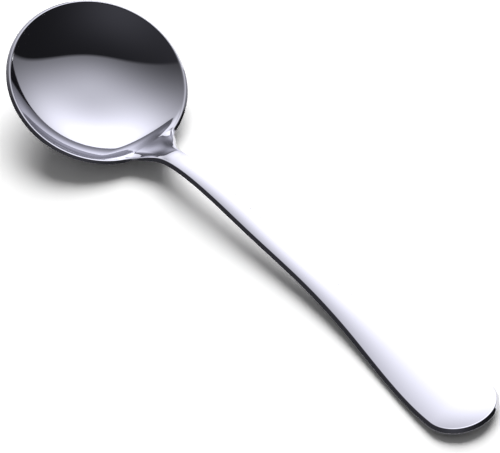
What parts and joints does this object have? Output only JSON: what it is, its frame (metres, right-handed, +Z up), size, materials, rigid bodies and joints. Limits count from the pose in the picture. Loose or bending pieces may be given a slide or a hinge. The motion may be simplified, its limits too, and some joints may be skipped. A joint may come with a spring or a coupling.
{
  "type": "soup spoon",
  "caption": "Polished steel soup spoon with a round, tilted bowl and a slim arched handle that widens to a flat rounded end, lying on a table.",
  "frame": {"origin": "on the table, at the middle of the spoon's length and width", "axes": "+X along the spoon from the bowl to the handle's end, +Z up from the table, +Y across the spoon"},
  "size_m": [0.1762, 0.0504, 0.0218],
  "materials": {
    "steel": "mirror polished stainless steel"
  },
  "bodies": {
    "root": {"bowl": "steel", "handle": "steel"}
  },
  "joints": []
}
